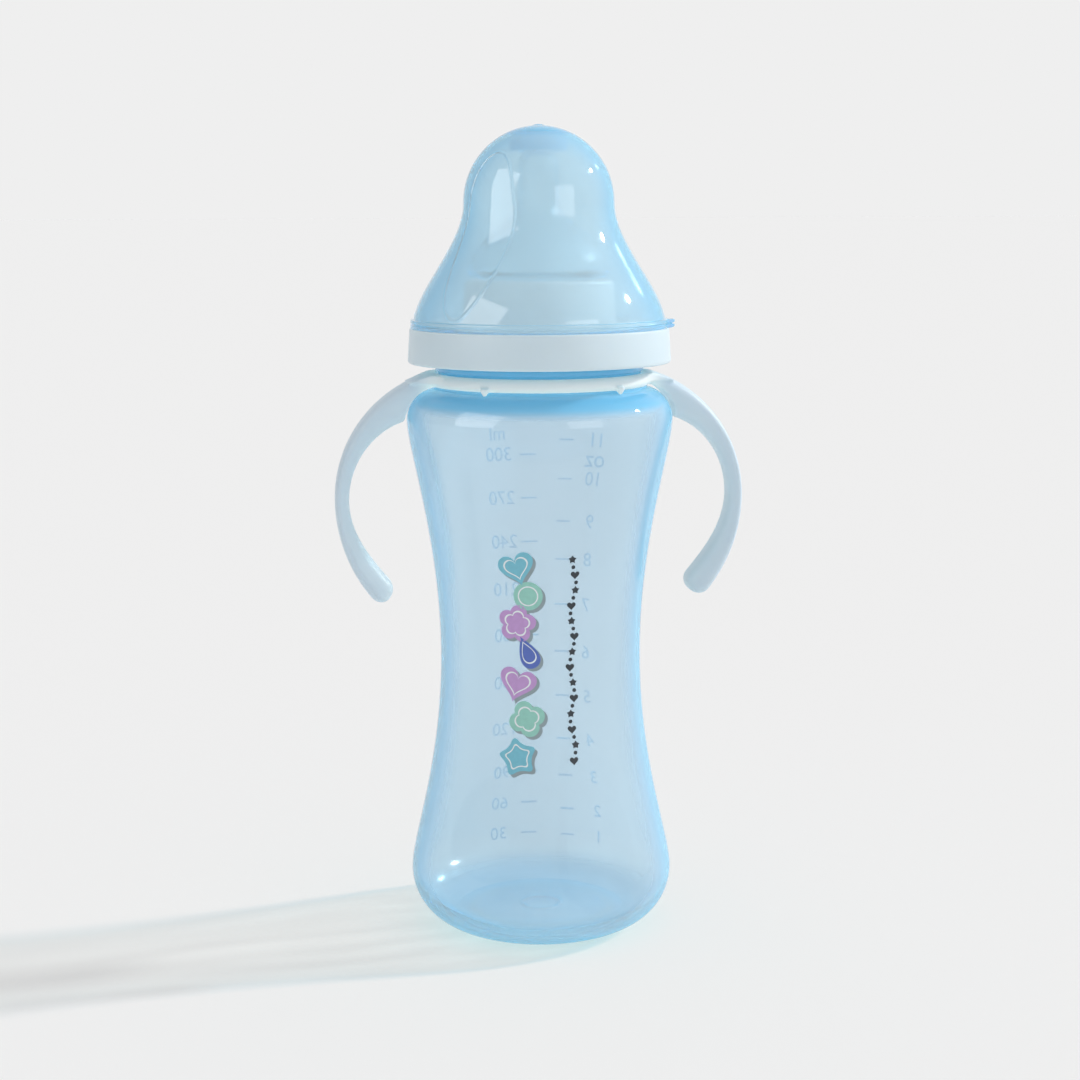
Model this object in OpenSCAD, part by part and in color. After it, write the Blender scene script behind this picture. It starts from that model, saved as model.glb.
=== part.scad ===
// Baby bottle with a swivelling two-handled grip: hourglass bottle, handle
// ring, two-tier screw collar, silicone teat and a clear bell-shaped hood.
// Millimetres, +Z up, origin at the centre of the base. The handles lie along
// X and the front of the bottle faces -Y.

/* [Bottle body] */
// Greatest diameter of the heel, near the base
heel_d = 69.4; // [62:0.2:76]
// Height of the heel's greatest diameter, also the heel's corner radius
heel_h = 14.8; // [11:0.2:18]
// Diameter of the waist
waist_d = 52.8; // [46:0.2:60]
// Height of the waist
waist_h = 73.6; // [66:0.2:80]
// Greatest diameter of the shoulder
shoulder_d = 69.2; // [62:0.2:76]
// Height of the shoulder's greatest diameter
shoulder_h = 135.2; // [128:0.2:145]
// Height of the shoulder's rounding above its greatest diameter
shoulder_round = 8.4; // [6:0.2:10]
// How far the flanks run upright beside the heel and the shoulder
bulge_ease = 8; // [5:0.5:12]
// How far the flanks run upright beside the waist
waist_ease = 30; // [22:0.5:38]
// Wall of the bottle
bottle_wall = 1.3; // [1:0.1:1.8]
// Width of the standing ring
foot_w = 2.5; // [1.5:0.1:4]
// Height of the push-up inside the standing ring
push_up = 2.2; // [1:0.1:4]

/* [Bottle neck] */
// Diameter of the swivel seat that the handle ring turns on
swivel_d = 52.8; // [48:0.2:56]
// Width of the flat ledge that carries the handle ring
ledge_w = 1.6; // [1:0.1:2]
// Height of the ledge above the shoulder's rounding
ledge_rise = 0.4; // [0.2:0.1:1]
// How far the bead that holds the handle ring down stands out
bead_out = 0.6; // [0.4:0.1:0.8]
// Height of the bead
bead_h = 1.4; // [1:0.1:2]
// Height of the sloping roof between the bead and the neck
roof_h = 2.6; // [2:0.1:3.2]
// Diameter of the neck under its thread
neck_d = 30.8; // [28:0.2:32]
// Wall of the neck
neck_wall = 2.4; // [1.8:0.1:3]
// Depth of the thread on the neck
thread_depth = 1.5; // [1:0.1:1.8]
// Height of the neck above the roof
neck_h = 15.6; // [13:0.1:19]

/* [Handle ring] */
// Width over both handle arms
handle_span = 107; // [100:0.5:116]
// Height of the ring
ring_h = 3.5; // [3:0.1:4.5]
// Thickness of the ring's wall
ring_wall = 2.2; // [1.8:0.1:2.8]
// How far the arms' widest point lies below the top of the ring
arm_bow_drop = 33; // [30:0.5:36]
// Radius of the arms' outer curve below the widest point
arm_low_r = 40; // [36:0.5:46]
// Angle that the arms sweep below the widest point
arm_low_angle = 39; // [30:1:44]
// Thickness of the arms at the widest point
arm_mid_t = 4.1; // [3.4:0.1:5]
// Thickness of the arms at the ring
arm_root_t = 12.9; // [10:0.1:14]
// Thickness of the arms near the tip
arm_tip_t = 6.5; // [5:0.1:7.5]
// Width of the arms along Y
arm_w = 13; // [10:0.5:15]
// Width of the arms along Y at the widest point
arm_mid_w = 11; // [9:0.5:14]
// Share of their width that the arms lose from the outer to the inner face
arm_taper = 0.35; // [0.1:0.05:0.5]
// Gap between the arms and the bottle's shoulder
arm_gap = 0.8; // [0.5:0.1:1.5]

/* [Screw collar] */
// Diameter of the skirt at its lower edge
skirt_d = 68.2; // [66:0.2:72]
// Height of the skirt
skirt_h = 8.9; // [8:0.1:10]
// How far the skirt draws in towards its top
skirt_draft = 0.6; // [0.2:0.1:1]
// Wall of the collar
collar_wall = 1.8; // [1.4:0.1:2.2]
// Diameter of the drum at its top
drum_d = 38.4; // [37.6:0.2:40]
// How far the drum widens towards its foot
drum_draft = 0.8; // [0.4:0.1:1.5]
// Radius of the rounded edges
edge_round = 1.2; // [0.8:0.1:1.6]
// Diameter of the hole for the teat
teat_hole_d = 30.4; // [29:0.2:31]
// Wall of the rim that the hood grips
grip_rim_wall = 1.2; // [1:0.1:1.6]

/* [Teat] */
// Wall of the teat
teat_wall = 1.6; // [1.2:0.1:2]
// Thickness of the teat's flange
flange_t = 1.6; // [1.2:0.1:2.2]
// Greatest diameter of the teat above the collar
teat_base_d = 36.6; // [34:0.2:37.6]
// Height of the teat's cone above the collar
teat_cone_h = 20.5; // [17:0.5:22]
// Diameter of the teat's shaft
teat_shaft_d = 10.4; // [9.6:0.2:11]
// Height of the teat above the collar
teat_h = 34.4; // [31:0.2:36]
// How far up its cone the teat stays full
teat_belly = 0.55; // [0.3:0.05:0.7]
// How far down its cone the teat eases out of the shaft
teat_ease = 0.35; // [0.25:0.05:0.6]

/* [Hood] */
// Height of the hood above the collar's skirt
hood_h = 51.3; // [50:0.1:56]
// Diameter of the hood's dome
dome_d = 38.8; // [36:0.2:42]
// Diameter of the bell at the flange
bell_d = 65; // [64:0.2:66]
// How far the bell leans inward just above the flange
bell_lean = 1.7; // [1:0.1:3]
// How far the bell runs upright below the dome
bell_ease_top = 10; // [7:0.5:13]
// Height over which the bell curves out above the flange
bell_ease_low = 9; // [7:0.5:12]
// Wall of the hood
hood_wall = 1.3; // [1:0.1:1.6]
// How far the flange stands out from the bell
flange_out = 0.8; // [0.5:0.1:1.2]
// Thickness of the flange
hood_flange_t = 2.3; // [1.8:0.1:3]
// How far the thumb tab stands out from the flange
tab_out = 1.7; // [1.2:0.1:2.4]
// Width of the thumb tab
tab_w = 12; // [8:0.5:16]
// Direction of the thumb tab, turned from +X towards -Y
tab_angle = 10; // [0:1:40]
// Diameter of the ring inside the crown
crown_d = 15; // [14:0.2:16.4]
// Wall of the ring inside the crown
crown_wall = 1.4; // [1:0.1:1.6]
// How far the crown ring reaches down below the hood's top
crown_drop = 6.5; // [5.5:0.1:8]
// Height of the moulding gate on top of the dome
gate_h = 0.3; // [0.1:0.1:0.5]

/* [Fits] */
// Radial clearance of the handle ring on its seat
swivel_fit = 0.3; // [0.2:0.05:0.4]
// Radial clearance of the teat in the collar's hole
teat_fit = 0.3; // [0.2:0.05:0.4]
// Radial clearance between the collar's drum and the neck's thread
screw_fit = 0.5; // [0.4:0.05:0.7]
// Radial clearance of the hood on the collar's rim
hood_fit = 0.3; // [0.2:0.05:0.4]
// Clearance above the ring, under the bottle's bead
bead_fit = 0.3; // [0.2:0.05:0.4]
// Gap between the handle ring's bead and the collar's skirt
skirt_gap = 0.6; // [0.5:0.05:1]

/* [Hidden] */
$fn = 96;
curve_steps = 12;
seam = 0.5; // overlap of solids that are fused into one piece

// Bottle
heel_r = heel_d / 2;
waist_r = waist_d / 2;
shoulder_r = shoulder_d / 2;
foot_r = heel_r - heel_h;
swivel_r = swivel_d / 2;
ledge_r = swivel_r + ledge_w;
ledge_z = shoulder_h + shoulder_round + ledge_rise;
ring_top_z = ledge_z + ring_h;
bead_z = ring_top_z + bead_fit;
bead_r = swivel_r + bead_out;
roof_z = bead_z + bead_h;
neck_z = roof_z + roof_h;
neck_r = neck_d / 2;
rim_z = neck_z + neck_h;

// Collar, stacked on the teat's flange and the neck's rim
flange_top_z = rim_z + flange_t;
collar_top_z = flange_top_z + collar_wall;
skirt_z = roof_z + skirt_gap;
skirt_top_z = skirt_z + skirt_h;
skirt_r = skirt_d / 2;
skirt_top_r = skirt_r - skirt_draft;
drum_bore_r = neck_r + thread_depth + screw_fit;
drum_r = drum_d / 2;
drum_foot_r = drum_r + drum_draft;
teat_hole_r = teat_hole_d / 2;
tube_z = neck_z + screw_fit;
grip_rim_r = bell_d / 2 - hood_wall - hood_fit;
grip_rim_h = hood_flange_t - hood_fit;

// Teat
teat_flange_r = drum_bore_r - screw_fit;
teat_groove_r = teat_hole_r - teat_fit;
teat_base_r = teat_base_d / 2;
teat_shaft_r = teat_shaft_d / 2;
teat_lip_z = collar_top_z + teat_fit;
teat_cone_z = collar_top_z + teat_cone_h;
teat_top_z = collar_top_z + teat_h;
teat_lip_h = 1.4;

// Hood
hood_top_z = skirt_top_z + hood_h;
dome_r = dome_d / 2;
dome_z = hood_top_z - dome_r;
bell_r = bell_d / 2;
bell_z = skirt_top_z + hood_flange_t;
crown_z = hood_top_z - crown_drop;

// Handle arms: the outer curve is an arc from the ring's rim to the widest
// point, and a second arc from there to the tip
ring_r = swivel_r + swivel_fit + ring_wall;
arm_bow_z = ring_top_z - arm_bow_drop;
arm_bow_x = handle_span / 2;
arm_reach = arm_bow_x - ring_r;
arm_high_r = (arm_reach * arm_reach + arm_bow_drop * arm_bow_drop) / (2 * arm_reach);
arm_high_angle = asin(arm_bow_drop / arm_high_r);
arm_sections = 12;
tip_sections = 4;
section_sides = 12;
squareness = 0.6; // 1 gives an ellipse, 0 a rectangle

function arc(cr, cz, rr, rz, a0, a1, n = curve_steps) =
    [for (i = [0:n]) let (a = a0 + (a1 - a0) * i / n) [cr + rr * cos(a), cz + rz * sin(a)]];

function bezier(p0, p1, p2, p3, n = curve_steps) =
    [for (i = [0:n]) let (t = i / n, s = 1 - t)
        s * s * s * p0 + 3 * s * s * t * p1 + 3 * s * t * t * p2 + t * t * t * p3];

function tail(points) = [for (i = [1:len(points) - 1]) points[i]];

function reversed(points) = [for (i = [len(points) - 1:-1:0]) points[i]];

// The same outline moved to its left by a distance, never past the axis
function inset(points, distance) =
    [for (i = [0:len(points) - 1])
        let (a = points[max(i - 1, 0)], b = points[min(i + 1, len(points) - 1)],
             along = (b - a) / norm(b - a))
        [max(points[i][0] - along[1] * distance, 0), points[i][1] + along[0] * distance]];

// Outline of the bottle's flanks, from the standing ring to the foot of the ledge
function flank() = concat(
    arc(foot_r, heel_h, heel_h, heel_h, -90, 0, 8),
    tail(bezier([heel_r, heel_h], [heel_r, heel_h + bulge_ease],
                [waist_r, waist_h - waist_ease], [waist_r, waist_h])),
    tail(bezier([waist_r, waist_h], [waist_r, waist_h + waist_ease],
                [shoulder_r, shoulder_h - bulge_ease], [shoulder_r, shoulder_h])),
    tail(arc(swivel_r, shoulder_h, shoulder_r - swivel_r, shoulder_round, 0,
             acos(ledge_w / (shoulder_r - swivel_r)), 8)));

module revolve(points) {
    rotate_extrude() polygon(points);
}

module disc(z, r, h) {
    translate([0, 0, z]) cylinder(r = r, h = h);
}

module bottle_body() {
    floor_r = foot_r - foot_w;
    floor_z = push_up + bottle_wall;
    neck_bore_r = neck_r - neck_wall;
    turret_bore_r = swivel_r - bottle_wall;
    outside = concat(
        [[0, push_up], [floor_r - push_up, push_up], [floor_r, 0]], flank(),
        [[ledge_r, ledge_z], [swivel_r, ledge_z],
         [swivel_r, bead_z], [bead_r, bead_z], [bead_r, roof_z], [neck_r, neck_z], [neck_r, rim_z]]);
    inside = concat(
        [[0, floor_z]], [for (p = inset(flank(), bottle_wall)) if (p[1] > floor_z) p],
        [[turret_bore_r, shoulder_h + shoulder_round], [turret_bore_r, roof_z - bottle_wall],
         [neck_bore_r, neck_z - bottle_wall], [neck_bore_r, rim_z]]);
    color("skyblue", 0.6) revolve(concat(outside, reversed(inside)));
}

// Thickness of a handle arm where its outer curve has turned by an angle,
// counted up from the widest point
function arm_t(angle) = angle >= 0
    ? arm_mid_t + (arm_root_t - arm_mid_t) * pow(angle / arm_high_angle, 2)
    : let (u = -angle / arm_low_angle) arm_mid_t + (arm_tip_t - arm_mid_t) * u * u * (3 - 2 * u);

function arm_width(angle) = angle >= 0
    ? arm_mid_w + (arm_w - arm_mid_w) * pow(angle / arm_high_angle, 2)
    : arm_mid_w + (arm_w - arm_mid_w) * (-angle / arm_low_angle);

// One section of the arm across its curve, rounded and wider on its outer face.
// It is moved along the curve by shift and drawn in by shrink on every side
function arm_section(angle, shift = 0, shrink = 0) =
    let (curve_r = angle >= 0 ? arm_high_r : arm_low_r,
         half_t = arm_t(angle) / 2,
         middle = curve_r - half_t,
         out = [cos(angle), 0, sin(angle)],
         down = [sin(angle), 0, -cos(angle)],
         centre = [arm_bow_x - curve_r, 0, arm_bow_z] + middle * out + shift * down)
    [for (k = [0:section_sides - 1])
        let (a = 360 * (k + 0.5) / section_sides,
             u = sign(cos(a)) * pow(abs(cos(a)), squareness),
             v = sign(sin(a)) * pow(abs(sin(a)), squareness),
             half_w = arm_width(angle) / 2 * (1 - arm_taper * (1 - u) / 2))
        centre + out * (half_t - shrink) * u + [0, 1, 0] * (half_w - shrink) * v];

// A closed solid through a list of sections with the same number of points
module loft(sections) {
    sides = len(sections[0]);
    last = (len(sections) - 1) * sides;
    polyhedron(
        points = [for (section = sections) for (point = section) point],
        faces = concat(
            [[for (k = [sides - 1:-1:0]) k]],
            [for (i = [0:len(sections) - 2]) for (k = [0:sides - 1])
                let (a = i * sides + k, b = i * sides + (k + 1) % sides)
                [a, b, b + sides, a + sides]],
            [[for (k = [0:sides - 1]) last + k]]));
}

module handle_arm() {
    tip_r = arm_tip_t / 2;
    root = [arm_section(arm_high_angle, shift = -ring_wall)];
    upper = [for (i = [arm_sections:-1:0]) arm_section(arm_high_angle * i / arm_sections)];
    lower = [for (i = [1:arm_sections]) arm_section(-arm_low_angle * i / arm_sections)];
    tip = [for (i = [1:tip_sections])
        let (turn = 84 * i / tip_sections)
        arm_section(-arm_low_angle, tip_r * sin(turn), tip_r * (1 - cos(turn)))];
    loft(concat(root, upper, lower, tip));
}

// The space that the arms keep clear: the shoulder and a gap around it
module shoulder_space() {
    outside = [for (p = inset(flank(), -arm_gap)) if (p[1] >= waist_h && p[0] >= ring_r) p];
    revolve(concat([[0, waist_h]], outside, [[ring_r, ledge_z], [0, ledge_z]]));
}

module handle_ring() {
    lip_h = ring_h / 4;
    lip_in = 0.5;
    color("aliceblue", 0.9)
    difference() {
        union() {
            for (side = [0, 180]) rotate(side) handle_arm();
            revolve(concat(
                [[0, ledge_z], [ring_r - lip_in, ledge_z], [ring_r - lip_in, ledge_z + lip_h],
                 [ring_r, ledge_z + lip_h]],
                arc(ring_r - edge_round, ring_top_z - edge_round, edge_round, edge_round, 0, 90, 4),
                [[0, ring_top_z]]));
        }
        shoulder_space();
        disc(waist_h, swivel_r + swivel_fit, rim_z - waist_h);
        disc(ring_top_z, arm_bow_x, arm_bow_drop);
    }
}

module screw_collar() {
    plate_z = skirt_top_z - collar_wall;
    color("whitesmoke")
    revolve(concat(
        [[skirt_r - collar_wall, skirt_z]],
        arc(skirt_r - edge_round, skirt_z + edge_round, edge_round, edge_round, -90, 0, 4),
        [[skirt_top_r, skirt_top_z], [grip_rim_r, skirt_top_z],
         [grip_rim_r, skirt_top_z + grip_rim_h],
         [grip_rim_r - grip_rim_wall, skirt_top_z + grip_rim_h],
         [grip_rim_r - grip_rim_wall, skirt_top_z], [drum_foot_r, skirt_top_z]],
        arc(drum_r - edge_round, collar_top_z - edge_round, edge_round, edge_round, 0, 90, 4),
        [[teat_hole_r, collar_top_z], [teat_hole_r, flange_top_z], [drum_bore_r, flange_top_z],
         [drum_bore_r, tube_z], [drum_bore_r + collar_wall, tube_z],
         [drum_bore_r + collar_wall, plate_z], [skirt_top_r - collar_wall, plate_z]]));
}

// Outside of the teat, from the lip above the collar to the tip
function teat_outline() = concat(
    arc(teat_base_r - teat_lip_h, teat_lip_z + teat_lip_h, teat_lip_h, teat_lip_h, -90, 0, 4),
    tail(bezier([teat_base_r, teat_lip_z + teat_lip_h],
                [teat_base_r, teat_lip_z + (teat_cone_z - teat_lip_z) * teat_belly],
                [teat_shaft_r, teat_cone_z - (teat_cone_z - teat_lip_z) * teat_ease],
                [teat_shaft_r, teat_cone_z])),
    arc(0, teat_top_z - teat_shaft_r, teat_shaft_r, teat_shaft_r, 0, 90, 6));

module teat() {
    inner_r = teat_groove_r - teat_wall;
    cavity_z = teat_lip_z + teat_wall;
    outside = concat([[teat_flange_r, rim_z], [teat_flange_r, flange_top_z],
                      [teat_groove_r, flange_top_z], [teat_groove_r, teat_lip_z]], teat_outline());
    inside = concat([[inner_r, rim_z], [inner_r, cavity_z]],
                    [for (p = inset(teat_outline(), teat_wall)) if (p[1] > cavity_z) p]);
    color("lightcyan", 0.6) revolve(concat(outside, reversed(inside)));
}

// Outside of the hood, from the top of its flange to the crown
function bell() = concat(
    bezier([bell_r, bell_z], [bell_r - bell_lean, bell_z + bell_ease_low],
           [dome_r, dome_z - bell_ease_top], [dome_r, dome_z]),
    tail(arc(0, dome_z, dome_r, dome_r, 0, 90)));

module hood() {
    flange_r = bell_r + flange_out;
    bore_r = bell_r - hood_wall;
    crown_r = crown_d / 2;
    crown_root_z = dome_z + sqrt(pow(dome_r - hood_wall / 2, 2) - crown_r * crown_r);
    gate_r = 1.2;
    edge_r = hood_flange_t / 2;
    outside = concat(arc(flange_r - edge_r, bell_z - edge_r, edge_r, edge_r, -90, 0, 3),
                     tail(arc(bell_r, bell_z - edge_r, flange_out, edge_r, 0, 90, 4)), tail(bell()));
    inside = concat([[bore_r, skirt_top_z], [bore_r, bell_z]], tail(inset(bell(), hood_wall)));
    color("deepskyblue", 0.5) {
        revolve(concat(outside, reversed(inside)));
        difference() {
            rotate(-tab_angle) translate([flange_r + tab_out - tab_w / 2, 0, 0])
                disc(skirt_top_z, tab_w / 2, hood_flange_t);
            disc(skirt_top_z - seam, bell_r, hood_flange_t + 2 * seam);
        }
        revolve([[crown_r - crown_wall, crown_z], [crown_r, crown_z], [crown_r, crown_root_z],
                 [crown_r - crown_wall, crown_root_z]]);
        disc(hood_top_z - seam, gate_r, seam + gate_h);
    }
}

bottle_body();
handle_ring();
screw_collar();
teat();
hood();
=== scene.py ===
import math
from collections import defaultdict

import bmesh
import bpy
import numpy as np
from mathutils import Matrix, Vector


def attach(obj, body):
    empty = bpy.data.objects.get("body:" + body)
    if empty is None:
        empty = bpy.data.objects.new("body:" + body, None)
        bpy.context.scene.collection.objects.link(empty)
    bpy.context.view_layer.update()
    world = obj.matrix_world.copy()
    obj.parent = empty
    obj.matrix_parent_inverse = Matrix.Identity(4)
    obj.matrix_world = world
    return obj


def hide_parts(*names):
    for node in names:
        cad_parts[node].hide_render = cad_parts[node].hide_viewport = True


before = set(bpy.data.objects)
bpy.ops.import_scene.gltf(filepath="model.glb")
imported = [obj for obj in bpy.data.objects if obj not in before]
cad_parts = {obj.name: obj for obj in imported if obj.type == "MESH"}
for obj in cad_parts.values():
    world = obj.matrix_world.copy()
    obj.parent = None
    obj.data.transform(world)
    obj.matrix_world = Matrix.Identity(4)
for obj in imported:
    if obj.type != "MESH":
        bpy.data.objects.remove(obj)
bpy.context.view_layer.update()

MM = 0.001
FRONT = -90.0  # direction of the bottle's front, counted from +X, in degrees

# ---------------------------------------------------------------------------
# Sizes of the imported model, in millimetres. _R is a radius from the upright
# axis and _Z a height above the ground.
# ---------------------------------------------------------------------------

TOUCH = 0.02  # left between faces that rest on each other

# Bottle, from its foot to the rim of its neck
WALL, BASE_WALL = 1.3, 2.0
DISH, FOOT_IN, FOOT_OUT = 1.3, 17.4, 19.9
HEEL_R, HEEL_H = 34.7, 14.8
WAIST_R, WAIST_H = 26.4, 73.6
SHOULDER_R, SHOULDER_H, SHOULDER_ROUND = 34.6, 135.2, 8.4
BULGE_EASE, WAIST_EASE = 8, 30  # how far the flank runs on upright where it is wide and narrow
SWIVEL_R, LEDGE_R, LEDGE_Z = 26.4, 28.0, 144.0
BEAD_Z, BEAD_R = 147.8, 27.0
ROOF_Z, NECK_Z = 149.2, 151.8
NECK_R, NECK_BORE, RIM_Z = 15.4, 13.0, 167.4

# Thread of the neck, which the collar's follows half a pitch lower
PITCH, THREAD_Z, THREAD_TURNS = 4.5, 154.2, 2.2
NECK_THREAD, BORE_THREAD = 1.5, 1.4

# Handle ring, with the step under its band that sits on the ledge
RING_R, RING_TOP, SWIVEL_FIT = 28.9, 147.5, 0.3
STEP_W, STEP_H = 0.5, 0.9

# Collar
SKIRT_Z, SKIRT_TOP, SKIRT_R, SKIRT_TOP_R = 149.8, 158.7, 34.1, 33.5
FLANGE_TOP, COLLAR_TOP, COLLAR_WALL = 169.0, 170.8, 1.8
DRUM_BORE, DRUM_R, DRUM_FOOT_R, DRUM_FOOT_Z = 17.4, 19.2, 20.0, 152.3

# Hood
BELL_R, BELL_Z, FLANGE_R = 32.5, 161.0, 33.3
DOME_R, DOME_Z = 19.4, 190.6
HOOD_WALL = 1.3

# ---------------------------------------------------------------------------
# Profiles and meshes
# ---------------------------------------------------------------------------


def arc(cr, cz, rr, rz, a0, a1, n):
    """Part of an ellipse round (cr, cz), in n steps from one angle to another."""
    a = np.radians(np.linspace(a0, a1, n + 1))
    return np.column_stack((cr + rr * np.cos(a), cz + rz * np.sin(a)))


def bezier(p0, p1, p2, p3, n):
    t = np.linspace(0, 1, n + 1)[:, None]
    s = 1 - t
    p0, p1, p2, p3 = map(np.array, (p0, p1, p2, p3))
    return s**3 * p0 + 3 * s * s * t * p1 + 3 * s * t * t * p2 + t**3 * p3


def offset(points, distance):
    """The same outline moved to its left, as the CAD's inset does."""
    ahead = np.vstack((points[1:], points[-1:]))
    behind = np.vstack((points[:1], points[:-1]))
    way = ahead - behind
    way /= np.linalg.norm(way, axis=1)[:, None]
    moved = points + np.column_stack((-way[:, 1], way[:, 0])) * np.reshape(distance, (-1, 1))
    moved[:, 0] = np.maximum(moved[:, 0], 0)
    return moved


def rounded(corners, steps=4):
    """Points (r, z, fillet radius) as a dense outline with rounded corners."""
    out = []
    n = len(corners)
    for i, (r, z, fillet) in enumerate(corners):
        here = np.array((r, z), float)
        if fillet <= 0 or i in (0, n - 1):
            out.append(here)
            continue
        a = np.array(corners[i - 1][:2], float) - here
        b = np.array(corners[i + 1][:2], float) - here
        la, lb = np.linalg.norm(a), np.linalg.norm(b)
        a, b = a / la, b / lb
        half = math.acos(max(-1, min(1, float(a @ b)))) / 2
        reach = min(fillet / math.tan(half), 0.49 * la, 0.49 * lb)
        start, end = here + a * reach, here + b * reach
        for t in np.linspace(0, 1, steps + 1):
            out.append((1 - t) ** 2 * start + 2 * t * (1 - t) * here + t * t * end)
    return np.array(out)


def dense(points, step):
    """Splits long stretches of an outline into steps of about one length."""
    out = [points[0]]
    for a, b in zip(points[:-1], points[1:]):
        n = max(1, int(np.ceil(np.linalg.norm(b - a) / step)))
        out += [a + (b - a) * k / n for k in range(1, n + 1)]
    return np.array(out)


def smooth_step(x):
    x = np.clip(x, 0, 1)
    return x * x * (3 - 2 * x)


def round_angles(steps):
    """Even steps once round, in degrees."""
    return np.linspace(0, 360, steps + 1)[:-1]


def mesh_object(name, verts, faces):
    mesh = bpy.data.meshes.new(name)
    mesh.from_pydata([tuple(v) for v in verts], [], faces)
    mesh.validate()
    mesh.update()
    mesh.polygons.foreach_set("use_smooth", [True] * len(mesh.polygons))
    piece = bpy.data.objects.new(name, mesh)
    bpy.context.collection.objects.link(piece)
    return piece


def lathe(name, outline, angles=round_angles(224), relief=None):
    """A closed solid turned from a closed outline, which may touch the axis.
    relief(angles, r, z) gives how far each point moves out and up."""
    outline = np.asarray(outline, float)
    step = np.linalg.norm(outline - np.roll(outline, -1, axis=0), axis=1)
    outline = outline[step > 1e-5]
    r, z = outline.T
    if np.sum(r * np.roll(z, -1) - np.roll(r, -1) * z) < 0:
        outline = outline[::-1]
    on_axis = outline[:, 0] < 1e-6
    n = len(angles)
    turn = np.radians(angles)
    verts, rows = [], []
    for (r, z), pole in zip(outline, on_axis):
        if pole:
            rows.append([len(verts)] * n)
            verts.append((0, 0, z * MM))
            continue
        rr, zz = np.full(n, r), np.full(n, z)
        if relief is not None:
            dr, dz = relief(angles, rr, zz)
            rr, zz = rr + dr, zz + dz
        rows.append(list(range(len(verts), len(verts) + n)))
        verts.extend(np.column_stack((rr * np.cos(turn), rr * np.sin(turn), zz)) * MM)
    faces = []
    for i, j in zip(range(len(rows)), np.roll(range(len(rows)), -1)):
        for k in range(n):
            m = (k + 1) % n
            corners = []
            for v in (rows[i][k], rows[i][m], rows[j][m], rows[j][k]):
                if v not in corners:
                    corners.append(v)
            if len(corners) > 2:
                faces.append(corners)
    return mesh_object(name, verts, faces)


def ridge(x, half_top, half_foot):
    """Height from 0 to 1 of a moulded ridge at a distance from its middle."""
    return smooth_step((half_foot - np.abs(x)) / (half_foot - half_top))


def helix(angles, z, foot_z, fade=25.0):
    """Height from 0 to 1 of a right-hand thread at each point."""
    best = np.zeros_like(z)
    for lap in range(int(THREAD_TURNS) + 2):
        total = np.mod(angles, 360) + 360 * lap
        d = z - (foot_z + PITCH * total / 360)
        ends = smooth_step(total / fade) * smooth_step((THREAD_TURNS * 360 - total) / fade)
        best = np.maximum(best, ridge(d, 0.35, 1.15) * ends)
    return best


# ---------------------------------------------------------------------------
# Bottle
# ---------------------------------------------------------------------------

ROUND_STEPS, FLANK_STEPS = 22, 44

# The inside of the heel is a little uneven between two heights, as on a blown bottle:
# waves round it, the depth of each and where it starts, in radians
BLOWN_FOOT, BLOWN_FOOT_FADE, BLOWN_TOP, BLOWN_TOP_FADE = 1.2, 1.5, 20, 12
BLOWN_WAVES = ((2, 0.12, 0.6), (5, 0.10, 2.0))


def flank():
    """Outside of the bottle, from the standing ring to the foot of the ledge."""
    fall = math.degrees(math.acos((LEDGE_R - SWIVEL_R) / (SHOULDER_R - SWIVEL_R)))
    return np.vstack((
        arc(FOOT_OUT, HEEL_H, HEEL_H, HEEL_H, -90, 0, ROUND_STEPS),
        bezier((HEEL_R, HEEL_H), (HEEL_R, HEEL_H + BULGE_EASE),
               (WAIST_R, WAIST_H - WAIST_EASE), (WAIST_R, WAIST_H), FLANK_STEPS)[1:],
        bezier((WAIST_R, WAIST_H), (WAIST_R, WAIST_H + WAIST_EASE),
               (SHOULDER_R, SHOULDER_H - BULGE_EASE), (SHOULDER_R, SHOULDER_H),
               FLANK_STEPS)[1:],
        arc(SWIVEL_R, SHOULDER_H, SHOULDER_R - SWIVEL_R, SHOULDER_ROUND, 0, fall,
            ROUND_STEPS)[1:]))


FLANK = flank()
UPRIGHT = FLANK[ROUND_STEPS - 2:ROUND_STEPS + 2 * FLANK_STEPS + 1]  # between heel and shoulder


def wall_point(psi, z, out=0.0):
    """A point on the bottle's outer wall, psi degrees round from the front."""
    below, r, above = np.interp((z - 0.5, z, z + 0.5), UPRIGHT[:, 1], UPRIGHT[:, 0])
    slope = above - below
    lean = math.hypot(1, slope)
    r, z = r + out / lean, z - out * slope / lean
    a = math.radians(FRONT + psi)
    return Vector((r * math.cos(a), r * math.sin(a), z)) * MM


def bottle_outside():
    """Outline of the bottle's outside, from the middle of its foot to the rim."""
    button = [(0, DISH + 0.5, 0), (4.0, DISH + 0.45, 1.0), (4.9, DISH - 0.25, 0.8)]
    dish = np.linspace(5.8, FOOT_IN, 24)
    outside = np.vstack((
        rounded(button),
        np.column_stack((dish, DISH * (1 - (dish / FOOT_IN) ** 2))),
        rounded([(FOOT_IN, 0.0, 0), (FOOT_IN + 0.6, 0.0, 0), (FOOT_OUT, 0.0, 0)]),
        FLANK[1:],
        rounded([(LEDGE_R, LEDGE_Z - 0.5, 0), (LEDGE_R, LEDGE_Z - TOUCH, 0.3),
                 (SWIVEL_R - TOUCH, LEDGE_Z - TOUCH, 0.3), (SWIVEL_R - TOUCH, BEAD_Z, 0.25),
                 (BEAD_R, BEAD_Z + 0.1, 0.5), (BEAD_R, ROOF_Z, 0.7), (NECK_R, NECK_Z, 1.0),
                 (NECK_R, RIM_Z - TOUCH, 0.5), (NECK_BORE + 1.2, RIM_Z - TOUCH, 0)])))
    threaded = outside[:, 1] > NECK_Z + 0.4
    return np.vstack((outside[~threaded], dense(outside[threaded], 0.25)))


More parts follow.
